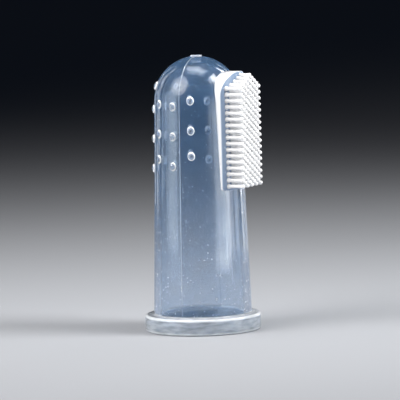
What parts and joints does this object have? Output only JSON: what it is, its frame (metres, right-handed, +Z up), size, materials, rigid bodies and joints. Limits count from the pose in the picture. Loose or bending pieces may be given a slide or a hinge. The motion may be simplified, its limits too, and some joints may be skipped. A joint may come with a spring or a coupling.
{
  "type": "finger toothbrush",
  "caption": "Clear soft finger toothbrush for pets: a thimble-shaped sleeve with a base ring, a side pad of fine flexing bristles and small round gum nubs on its back.",
  "frame": {"origin": "centre of the open end, on the plane of the base ring's underside", "axes": "+Z up along the sleeve's axis towards the dome, +X towards the bristle tips, +Y across the bristle pad"},
  "size_m": [0.0238, 0.0234, 0.0558],
  "materials": {
    "clear_silicone": "clear glossy silicone with a faint blue cast",
    "frosted_silicone": "clear silicone that reads milky where it is thick",
    "bristle_silicone": "clear silicone that reads white where many fine bristles stand together"
  },
  "bodies": {
    "sleeve_body": {"sleeve": "clear_silicone", "base_ring": "frosted_silicone", "bristle_pad": "frosted_silicone", "gate_mark": "frosted_silicone", "parting_line": "clear_silicone", "gum_nub_column_1": "frosted_silicone", "gum_nub_column_2": "frosted_silicone", "gum_nub_column_3": "frosted_silicone", "gum_nub_column_4": "frosted_silicone", "gum_nub_column_5": "frosted_silicone", "gum_nub_column_6": "frosted_silicone", "gum_nub_column_7": "frosted_silicone", "gum_nub_column_8": "frosted_silicone", "gum_nub_column_9": "frosted_silicone"},
    "bristles_1": {"bristle_column_1": "bristle_silicone"},
    "bristles_2": {"bristle_column_2": "bristle_silicone"},
    "bristles_3": {"bristle_column_3": "bristle_silicone"},
    "bristles_4": {"bristle_column_4": "bristle_silicone"},
    "bristles_5": {"bristle_column_5": "bristle_silicone"},
    "bristles_6": {"bristle_column_6": "bristle_silicone"},
    "bristles_7": {"bristle_column_7": "bristle_silicone"},
    "bristles_8": {"bristle_column_8": "bristle_silicone"},
    "bristles_9": {"bristle_column_9": "bristle_silicone"}
  },
  "joints": [
    {"name": "bristle_flex_1", "type": "hinge", "parent": "sleeve_body", "child": "bristles_1", "pos_m": [0.00905, -0.00432, 0.0402], "axis": [0, 0, 1], "range_deg": [-25, 25], "stiffness_Nm_per_rad": 0.0009},
    {"name": "bristle_flex_2", "type": "hinge", "parent": "sleeve_body", "child": "bristles_2", "pos_m": [0.00949, -0.00324, 0.0402], "axis": [0, 0, 1], "range_deg": [-25, 25], "stiffness_Nm_per_rad": 0.0009},
    {"name": "bristle_flex_3", "type": "hinge", "parent": "sleeve_body", "child": "bristles_3", "pos_m": [0.00979, -0.00216, 0.0402], "axis": [0, 0, 1], "range_deg": [-25, 25], "stiffness_Nm_per_rad": 0.0009},
    {"name": "bristle_flex_4", "type": "hinge", "parent": "sleeve_body", "child": "bristles_4", "pos_m": [0.00997, -0.00108, 0.0402], "axis": [0, 0, 1], "range_deg": [-25, 25], "stiffness_Nm_per_rad": 0.0009},
    {"name": "bristle_flex_5", "type": "hinge", "parent": "sleeve_body", "child": "bristles_5", "pos_m": [0.01003, 0, 0.0402], "axis": [0, 0, 1], "range_deg": [-25, 25], "stiffness_Nm_per_rad": 0.0009},
    {"name": "bristle_flex_6", "type": "hinge", "parent": "sleeve_body", "child": "bristles_6", "pos_m": [0.00997, 0.00108, 0.0402], "axis": [0, 0, 1], "range_deg": [-25, 25], "stiffness_Nm_per_rad": 0.0009},
    {"name": "bristle_flex_7", "type": "hinge", "parent": "sleeve_body", "child": "bristles_7", "pos_m": [0.00979, 0.00216, 0.0402], "axis": [0, 0, 1], "range_deg": [-25, 25], "stiffness_Nm_per_rad": 0.0009},
    {"name": "bristle_flex_8", "type": "hinge", "parent": "sleeve_body", "child": "bristles_8", "pos_m": [0.00949, 0.00324, 0.0402], "axis": [0, 0, 1], "range_deg": [-25, 25], "stiffness_Nm_per_rad": 0.0009},
    {"name": "bristle_flex_9", "type": "hinge", "parent": "sleeve_body", "child": "bristles_9", "pos_m": [0.00905, 0.00432, 0.0402], "axis": [0, 0, 1], "range_deg": [-25, 25], "stiffness_Nm_per_rad": 0.0009}
  ],
  "couplings": [
    {"joint": "bristle_flex_1", "follows": "bristle_flex_5", "ratio": 1},
    {"joint": "bristle_flex_2", "follows": "bristle_flex_5", "ratio": 1},
    {"joint": "bristle_flex_3", "follows": "bristle_flex_5", "ratio": 1},
    {"joint": "bristle_flex_4", "follows": "bristle_flex_5", "ratio": 1},
    {"joint": "bristle_flex_6", "follows": "bristle_flex_5", "ratio": 1},
    {"joint": "bristle_flex_7", "follows": "bristle_flex_5", "ratio": 1},
    {"joint": "bristle_flex_8", "follows": "bristle_flex_5", "ratio": 1},
    {"joint": "bristle_flex_9", "follows": "bristle_flex_5", "ratio": 1}
  ]
}
